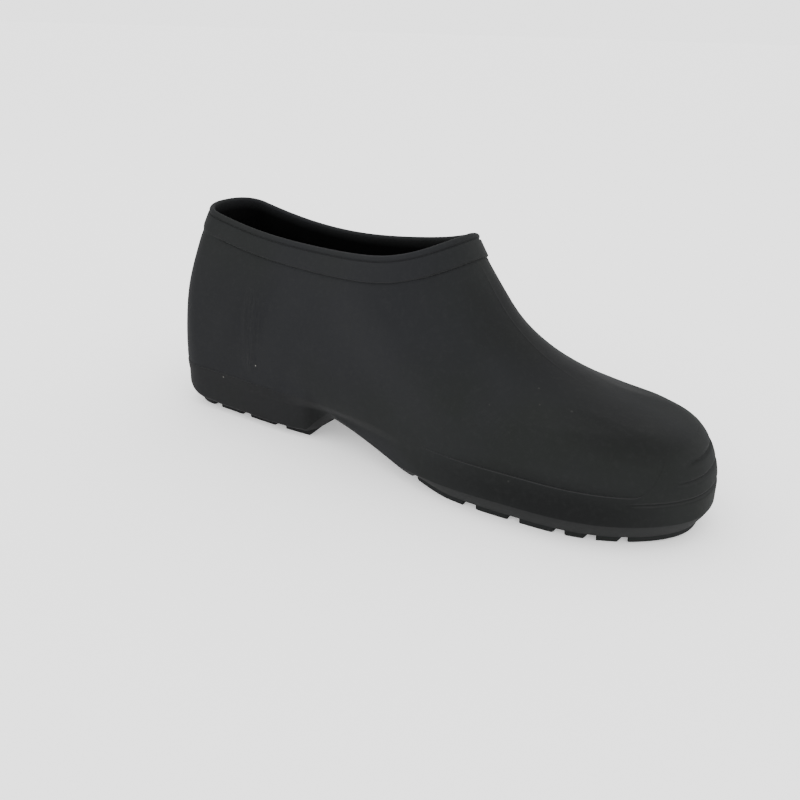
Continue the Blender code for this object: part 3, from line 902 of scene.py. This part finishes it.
def rubber_look(name, looks, base, top_dust_and_highlight):
    """Black rubber: a cloudy base with cool and green tints, painted highlights and painted shade in areas,
    dust in spots, painted bounce light on undersides, dust and painted highlight on the sole's ledge, painted
    shade on the inner side, a dull gloss, upright wrinkles and a fine grain."""
    nodes = Nodes(name)
    place = nodes.add("ShaderNodeTexCoord").outputs["Object"]
    cloud = nodes.noise(place, looks.cloud_scale, 5.0, 0.6)
    tint = nodes.noise(place, looks.tint_scale)
    bloom = nodes.noise(place, looks.bloom_scale, 6.0, 0.7)
    # The dust colour, used for dust in spots and also as painted bounce light and painted highlight.
    dust_and_painted_light = (*looks.dust_and_painted_light_colour, 1)
    colour = nodes.mix(nodes.spread(tint, 0.42, 0.58, 0.0, 1.0), (*base, 1), (*looks.green_colour, 1))
    clouds = nodes.spread(cloud, 0.35, 0.65, 0.0, looks.clouds)
    colour = nodes.mix(clouds, colour, (*looks.bloom_and_highlight_colour, 1))
    # Painted highlight and painted shade: each highlight area shifts the colour towards the lighter tone,
    # each shade area towards the darker one.
    for areas, target in ((HIGHLIGHT_AREAS, looks.bloom_and_highlight_colour), (SHADE_AREAS, looks.painted_shade_colour)):
        for area in areas:
            colour = nodes.mix(nodes.product(nodes.patch(place, area), area.share), colour, (*target, 1))
    colour = nodes.mix(nodes.spread(bloom, 0.5, 0.75, 0.0, looks.dust), colour, dust_and_painted_light)
    # Painted bounce light: faces turned down are made lighter with the dust colour, in place of light from
    # the floor.
    facing = nodes.add("ShaderNodeNewGeometry").outputs["Normal"]
    upward = nodes.add("ShaderNodeSeparateXYZ", {"Vector": facing}).outputs["Z"]
    colour = nodes.mix(nodes.spread(upward, -0.15, -0.6, 0.0, looks.underside_bounce_light), colour, dust_and_painted_light)
    # Dust and painted highlight: faces turned up low on the piece, on the sole's ledge, are made lighter.
    height = nodes.add("ShaderNodeSeparateXYZ", {"Vector": place}).outputs["Z"]
    low = nodes.spread(height, 0.029, 0.034, 1.0, 0.0)
    ledge = nodes.product(nodes.spread(upward, 0.45, 0.85, 0.0, top_dust_and_highlight), low)
    colour = nodes.mix(ledge, colour, dust_and_painted_light)
    for speck in SPECKS:
        away = nodes.add("ShaderNodeVectorMath", {0: place, 1: in_frame(speck)}, operation="DISTANCE")
        radius = speck.radius * MM
        spot = nodes.spread(away.outputs["Value"], radius * SPECK_CORE, radius, speck.share, 0.0)
        colour = nodes.mix(spot, colour, (*looks.speck_colour, 1))
    # Painted shade: the shell's inner side takes a darker colour, where little light reaches.
    inside = nodes.add("ShaderNodeAttribute", attribute_name="inside").outputs["Fac"]
    nodes.set("Base Color", nodes.mix(inside, colour, (*looks.inside_shade_colour, 1)))
    rough = looks.rough - ROUGH_CHANGE, looks.rough + ROUGH_CHANGE
    nodes.set("Roughness", nodes.spread(cloud, 0.3, 0.7, *rough))
    nodes.set("Specular IOR Level", looks.specular)
    normal = nodes.bump(cloud, looks.cloud_bump)
    squeeze = {"Vector": place, "Scale": (1, 1, WRINKLE_SQUEEZE)}
    upright = nodes.add("ShaderNodeMapping", squeeze).outputs["Vector"]
    wrinkle = nodes.noise(upright, looks.wrinkle_scale)
    for area in WRINKLED_AREAS:
        shown = nodes.product(wrinkle, nodes.patch(place, area))
        normal = nodes.bump(shown, looks.wrinkle_bump, normal)
    grain = nodes.noise(place, looks.grain_scale, 3.0, 0.6)
    nodes.set("Normal", nodes.bump(grain, looks.grain_bump, normal))
    return nodes.material


# How much lighter the footbed's clouds are.
FOOTBED_LIGHTER = 1.8


def footbed_look(looks):
    """The footbed's black foam-backed rubber with a pressed lattice of small dimples."""
    nodes = Nodes("footbed_rubber")
    place = nodes.add("ShaderNodeTexCoord").outputs["Object"]
    lattice = {"Vector": place, "Scale": 420.0, "Randomness": 0.15}
    cells = nodes.add("ShaderNodeTexVoronoi", lattice)
    cloud = nodes.noise(place, 60.0, 4.0)
    dark = (*looks.footbed_colour, 1)
    light = tuple(FOOTBED_LIGHTER * value for value in looks.footbed_colour) + (1,)
    nodes.set("Base Color", nodes.mix(nodes.spread(cloud, 0.35, 0.65, 0.0, 1.0), dark, light))
    nodes.set("Roughness", 0.8)
    nodes.set("Specular IOR Level", 0.25)
    dimples = {"Height": cells.outputs["Distance"], "Strength": 0.8, "Distance": 0.0003}
    nodes.set("Normal", nodes.add("ShaderNodeBump", dimples).outputs["Normal"])
    return nodes.material


def floor_look(colour):
    """The plain pale floor. It glows a little, so that it is as light as the studio round it."""
    nodes = Nodes("floor")
    nodes.set("Base Color", (*colour, 1))
    nodes.set("Roughness", 0.9)
    nodes.set("Specular IOR Level", 0.1)
    nodes.set("Emission Color", (1, 1, 1, 1))
    nodes.set("Emission Strength", GROUND_GLOW)
    return nodes.material


def number_prop(name, text, default, **limits):
    """A number."""
    return FloatProperty(name=name, description=text, default=default, **limits)


def size_prop(name, text, default):
    """A length in metres."""
    return number_prop(name, text, default, min=0.0, unit="LENGTH", precision=5)


class OvershoeSizes(bpy.types.PropertyGroup):
    """The walls and edges of the moulding."""

    columns: IntProperty(name="Columns", description="Even columns round the foot", default=400, min=60)
    rows: IntProperty(name="Rows", description="Rows of the vamp above the bumper", default=96, min=10)
    wall: size_prop("Wall", "Thickness of the shell", 0.0022)
    skirt_wall: size_prop("Skirt wall", "Thickness inside the sole's rim", 0.002)
    gap: size_prop("Gap", "Room between pieces", 0.0003)
    band_high: size_prop("Band height", "How far the band reaches below the topline", 0.012)
    band_proud: size_prop("Band overhang", "How far the band stands out of the wall", 0.0009)
    band_edge: size_prop("Band edge", "Half the height of the band's foot", 0.0004)
    band_line: size_prop("Band line", "Depth of the line under the band", 0.0003)
    bead_high: size_prop("Bead height", "Height of the bead on the topline", 0.0032)
    bead_proud: size_prop("Bead overhang", "How far the bead stands out of the wall", 0.001)
    neck_deep: size_prop("Neck depth", "Depth of the line over the band", 0.0006)
    seam_proud: size_prop("Seam height", "How far the mould seam stands out", 0.00015)
    seam_half_wide: size_prop("Seam half width", "Half the width of the mould seam", 0.0007)
    ledge_round: size_prop("Ledge round", "Radius of the foxing ledge's edge", 0.0008)
    rib_deep: size_prop("Groove depth", "Depth of the bumper's grooves", 0.0011)
    rib_half: size_prop("Groove half width", "Half the width of the bumper's grooves", 0.0009)
    lug_high: size_prop("Lug height", "Height of the tread's lugs", 0.003)
    lug_inset: size_prop("Lug inset", "How far the lugs stand inside the edge", 0.0005)
    lug_round: size_prop("Lug round", "Radius of the lugs' feet", 0.0006)
    footbed_thick: size_prop("Footbed thickness", "Thickness of the footbed", 0.0025)
    footbed_round: size_prop("Footbed round", "Radius of the footbed's edge", 0.0008)


def in_millimetres(group):
    """The lengths of a property group in millimetres, and its counts as they are."""
    values = {}
    for name in group.bl_rna.properties.keys():
        value = getattr(group, name)
        if isinstance(value, int):
            values[name] = value
        elif isinstance(value, float):
            values[name] = value / MM
    return namedtuple("Sizes", values)(**values)


def colour_prop(name, text, default):
    """A colour with three parts."""
    limits = {"min": 0.0, "max": 1.0, "size": 3}
    return FloatVectorProperty(name=name, description=text, default=default, subtype="COLOR", **limits)


def share_prop(name, text, default):
    """A number from 0 to 1."""
    return number_prop(name, text, default, min=0.0, max=1.0)


class OvershoeLooks(bpy.types.PropertyGroup):
    """The colours, the gloss and the relief of the rubber."""

    upper_colour: colour_prop("Upper", "Black rubber of the upper", (0.0099, 0.0103, 0.0114))
    sole_colour: colour_prop("Sole", "Black rubber of the sole", (0.0092, 0.0094, 0.0097))
    green_colour: colour_prop("Green tint", "The rubber's green parts", (0.0097, 0.0106, 0.0100))
    # The lighter clouds' colour, also laid on the highlight areas as painted highlight.
    bloom_and_highlight_colour: colour_prop("Bloom", "The rubber's lighter clouds", (0.0134, 0.0138, 0.0149))
    # Painted shade: the darker tone laid on the shade areas.
    painted_shade_colour: colour_prop("Deep", "The rubber where it is darkest", (0.0048, 0.0050, 0.0051))
    # Used for dust and also for painted bounce light and painted highlight.
    dust_and_painted_light_colour: colour_prop("Dust", "Fine dust on the surface", (0.028, 0.0282, 0.0285))
    speck_colour: colour_prop("Specks", "Single light specks", (0.20, 0.195, 0.18))
    # Painted shade: the colour of the shell's inner side.
    inside_shade_colour: colour_prop("Inside", "Clean rubber of the inner side", (0.0030, 0.0030, 0.0031))
    footbed_colour: colour_prop("Footbed", "Black rubber of the footbed", (0.008, 0.008, 0.008))
    clouds: share_prop("Clouds", "Share of the lighter clouds", 0.45)
    dust: share_prop("Dust amount", "Share of dust where it is thickest", 0.12)
    # Painted bounce light on faces turned down.
    underside_bounce_light: share_prop("Underside dust", "Share of dust on slanted undersides", 0.4)
    # Dust and painted highlight on the ledge's upward faces.
    ledge_dust_and_highlight: share_prop("Ledge dust", "Share of dust on the sole's ledge", 0.55)
    rough: share_prop("Roughness", "The rubber's mean roughness", 0.8)
    specular: share_prop("Gloss", "Strength of the dull reflection", 0.07)
    tint_scale: number_prop("Tint scale", "Tint patches in a metre", 9)
    cloud_scale: number_prop("Cloud scale", "Clouds in a metre", 28)
    bloom_scale: number_prop("Bloom scale", "Dusty spots in a metre", 380)
    wrinkle_scale: number_prop("Wrinkle scale", "Fine wrinkles in a metre", 420)
    grain_scale: number_prop("Grain scale", "Grains in a metre", 1400)
    cloud_bump: number_prop("Waviness", "Height of the slow waves", 0.0003, precision=5)
    wrinkle_bump: number_prop("Wrinkle depth", "Depth of the fine wrinkles", 0.0008, precision=5)
    grain_bump: number_prop("Grain", "Height of the grain", 0.00003, precision=5)


class OvershoeStage(bpy.types.PropertyGroup):
    """The camera, the lights and the floor."""

    yaw: number_prop("Yaw", "Turn from the outer side to the toe", 0.5598, subtype="ANGLE")
    rise: number_prop("Elevation", "Height of the view", 0.3627, subtype="ANGLE")
    roll: number_prop("Roll", "Turn about the view", 0.031, subtype="ANGLE")
    distance: size_prop("Distance", "From the camera to what it looks at", 0.4536)
    target_x: size_prop("Target along", "Place looked at, from the heel", 0.1552)
    target_z: size_prop("Target height", "Height of the place looked at", 0.0582)
    lens: number_prop("Lens", "Focal length in millimetres", 37.55, subtype="DISTANCE_CAMERA")
    shift_x: number_prop("Shift across", "Share of the frame's width", -0.0299)
    shift_y: number_prop("Shift up", "Share of the frame's width", -0.0687)
    floor_colour: colour_prop("Floor", "Pale plain floor", (0.85, 0.85, 0.85))


class OVERSHOE_OT_upper(bpy.types.Operator):
    """Builds the hollow upper with its collar band, its bead and its mould seam"""

    bl_idname = "overshoe.upper"
    bl_label = "Upper"

    def execute(self, context):
        looks = context.scene.overshoe_looks
        look = rubber_look("upper_rubber", looks, looks.upper_colour, 0.0)
        make_upper(in_millimetres(context.scene.overshoe_sizes), look)
        return {"FINISHED"}


class OVERSHOE_OT_outsole(bpy.types.Operator):
    """Builds the cupped sole with its ledge, its toe bumper and its lugs"""

    bl_idname = "overshoe.outsole"
    bl_label = "Outsole"

    def execute(self, context):
        looks = context.scene.overshoe_looks
        look = rubber_look("sole_rubber", looks, looks.sole_colour, looks.ledge_dust_and_highlight)
        make_outsole(in_millimetres(context.scene.overshoe_sizes), look)
        return {"FINISHED"}


class OVERSHOE_OT_footbed(bpy.types.Operator):
    """Builds the loose footbed on the floor of the cup"""

    bl_idname = "overshoe.footbed"
    bl_label = "Footbed"

    def execute(self, context):
        look = footbed_look(context.scene.overshoe_looks)
        make_footbed(in_millimetres(context.scene.overshoe_sizes), look)
        return {"FINISHED"}


# Soft white studio lights: where each stands and its size in metres, and its power in watts.
LAMP_TARGET = (0, 0, 0.05)
LAMPS = table(
    "name place size power",
    ("front_left", (-1.2, -1.0, 0.8), 1.2, 4.0),
    ("overhead", (0.1, 0.3, 1.6), 1.4, 1.5),
)

# The studio is equally bright all round, and the floor glows to match, so no horizon shows. It is a wide
# disc of rings, a hair under the lugs so that no two faces share a plane. Lengths are in metres.
WORLD_STRENGTH = 2.4
GROUND_GLOW = 0.42
GROUND_REACH = 40.0
GROUND_START = 0.5
GROUND_DROP = 0.0001
GROUND_RINGS = 12
GROUND_SIDES = 96


def look_at(place, target):
    """A matrix at a place whose Z axis points away from the target."""
    away = (Vector(place) - Vector(target)).normalized()
    return Matrix.Translation(place) @ away.to_track_quat("Z", "Y").to_matrix().to_4x4()


def make_camera(stage):
    """The camera stands back from its target along the view, turned about it by the roll."""
    level = np.cos(stage.rise)
    away = Vector((np.sin(stage.yaw) * level, -np.cos(stage.yaw) * level, np.sin(stage.rise)))
    right = Vector((np.cos(stage.yaw), np.sin(stage.yaw), 0))
    up = away.cross(right)
    rolled_right = right * np.cos(stage.roll) + up * np.sin(stage.roll)
    rolled_up = up * np.cos(stage.roll) - right * np.sin(stage.roll)
    target = Vector((stage.target_x, 0, stage.target_z)) - Vector(CENTRE * MM)
    camera = bpy.data.objects.new("camera", bpy.data.cameras.new("camera"))
    bpy.context.scene.collection.objects.link(camera)
    axes = Matrix((rolled_right, rolled_up, away)).transposed().to_4x4()
    camera.matrix_world = Matrix.Translation(target + away * stage.distance) @ axes
    camera.data.lens = stage.lens
    camera.data.shift_x = stage.shift_x
    camera.data.shift_y = stage.shift_y
    camera.data.clip_start = 0.01
    bpy.context.scene.camera = camera


def make_floor(look):
    """A flat disc: rings at radii that grow by the same share, and a fan of triangles inside the first."""
    radius = np.geomspace(GROUND_START, GROUND_REACH, GROUND_RINGS)
    turn = np.arange(GROUND_SIDES) * 2 * np.pi / GROUND_SIDES
    ring = np.stack([np.cos(turn), np.sin(turn), np.zeros(GROUND_SIDES)], axis=-1)
    points = np.concatenate([(radius[:, None, None] * ring).reshape(-1, 3), [[0, 0, 0]]])
    points[:, 2] = -GROUND_DROP
    faces = [tuple(face[::-1]) for face in grid_faces(GROUND_RINGS, GROUND_SIDES)]
    faces += [(len(points) - 1, j, (j + 1) % GROUND_SIDES) for j in range(GROUND_SIDES)]
    mesh = bpy.data.meshes.new("floor")
    mesh.from_pydata(points.tolist(), [], faces)
    mesh.shade_smooth()
    mesh.materials.append(look)
    return bpy.data.objects.new("floor", mesh)


class OVERSHOE_OT_stage(bpy.types.Operator):
    """Sets up the camera, the soft lights and the pale floor"""

    bl_idname = "overshoe.stage"
    bl_label = "Stage"

    def execute(self, context):
        stage = context.scene.overshoe_stage
        make_camera(stage)
        for lamp in LAMPS:
            light = bpy.data.lights.new(lamp.name, "AREA")
            light.shape = "DISK"
            light.size = lamp.size
            light.energy = lamp.power
            holder = bpy.data.objects.new(lamp.name, light)
            holder.matrix_world = look_at(lamp.place, LAMP_TARGET)
            context.scene.collection.objects.link(holder)
        world = bpy.data.worlds.new("studio")
        world.use_nodes = True
        background = world.node_tree.nodes["Background"]
        background.inputs["Color"].default_value = (1, 1, 1, 1)
        background.inputs["Strength"].default_value = WORLD_STRENGTH
        context.scene.world = world
        floor = make_floor(floor_look(stage.floor_colour))
        context.scene.collection.objects.link(floor)
        floor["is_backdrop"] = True
        return {"FINISHED"}


OPERATORS = (OVERSHOE_OT_upper, OVERSHOE_OT_outsole, OVERSHOE_OT_footbed, OVERSHOE_OT_stage)
GROUPS = {
    "overshoe_sizes": OvershoeSizes,
    "overshoe_looks": OvershoeLooks,
    "overshoe_stage": OvershoeStage,
}


class OVERSHOE_PT_panel(bpy.types.Panel):
    """Lists the overshoe's pieces and their settings"""

    bl_idname = "OVERSHOE_PT_panel"
    bl_label = "Rubber overshoe"
    bl_space_type = "VIEW_3D"
    bl_region_type = "UI"
    bl_category = "Overshoe"

    def draw(self, context):
        for operator in OPERATORS:
            self.layout.operator(operator.bl_idname)
        for name, group in GROUPS.items():
            box = self.layout.box()
            for key in group.__annotations__:
                box.prop(getattr(context.scene, name), key)


def register():
    """Registers the settings, the operators and the panel."""
    for cls in (*GROUPS.values(), *OPERATORS, OVERSHOE_PT_panel):
        bpy.utils.register_class(cls)
    for name, group in GROUPS.items():
        setattr(bpy.types.Scene, name, PointerProperty(type=group))


def unregister():
    """Takes them off again, in the opposite order."""
    for name in GROUPS:
        delattr(bpy.types.Scene, name)
    for cls in (OVERSHOE_PT_panel, *OPERATORS[::-1], *list(GROUPS.values())[::-1]):
        bpy.utils.unregister_class(cls)


def main():
    """Builds every piece and the stage."""
    register()
    bpy.ops.overshoe.upper()
    bpy.ops.overshoe.outsole()
    bpy.ops.overshoe.footbed()
    bpy.ops.overshoe.stage()
    boxes = {"cad": CAD_BOX, "visual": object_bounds()}
    {name: [list(corner) for corner in box] for name, box in boxes.items()}


if __name__ == "__main__":
    main()
